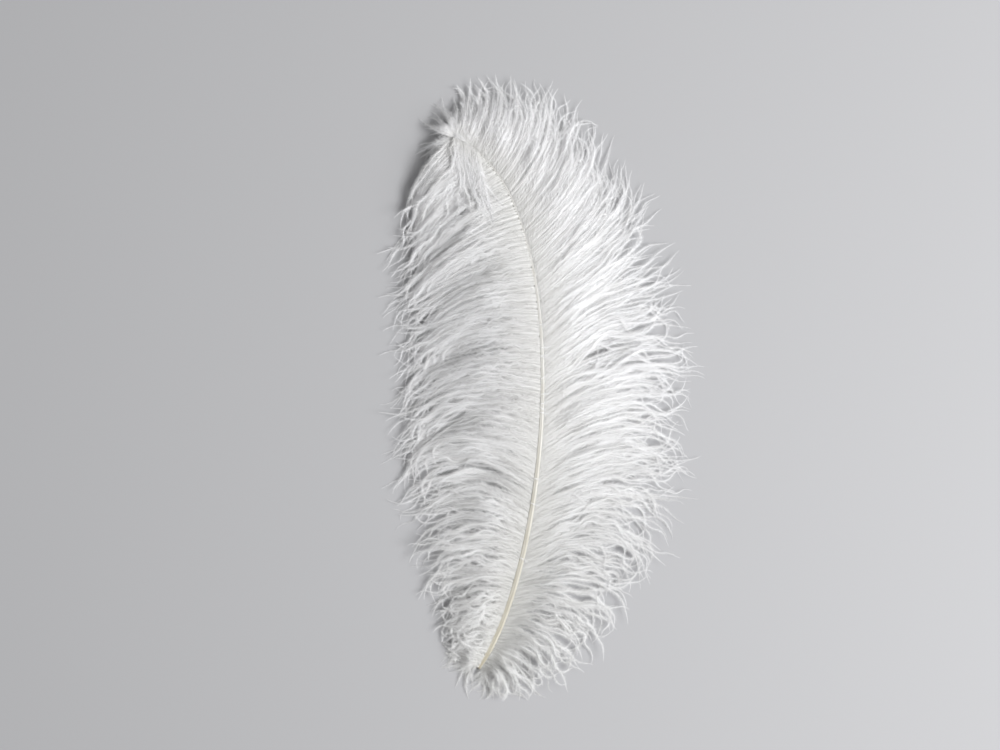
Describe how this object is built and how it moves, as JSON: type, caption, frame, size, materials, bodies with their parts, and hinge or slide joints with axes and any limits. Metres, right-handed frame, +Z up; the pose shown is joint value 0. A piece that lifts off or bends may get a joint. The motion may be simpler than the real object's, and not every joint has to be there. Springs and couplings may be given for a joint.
{
  "type": "ostrich feather",
  "caption": "White ostrich plume lying convex side up: a curved, tapering ivory shaft with long soft barbs in drooping locks on both sides, for display, trimming or arranging.",
  "frame": {"origin": "centre of the plume's box, on the surface that it lies on", "axes": "+Y along the plume from the quill to the tip, +Z up from the surface, +X to the right seen from above with the tip away"},
  "size_m": [0.2972, 0.5684, 0.0342],
  "materials": {
    "plume": "matte",
    "quill": "satin"
  },
  "bodies": {
    "root": {"feather": "plume"}
  },
  "joints": []
}
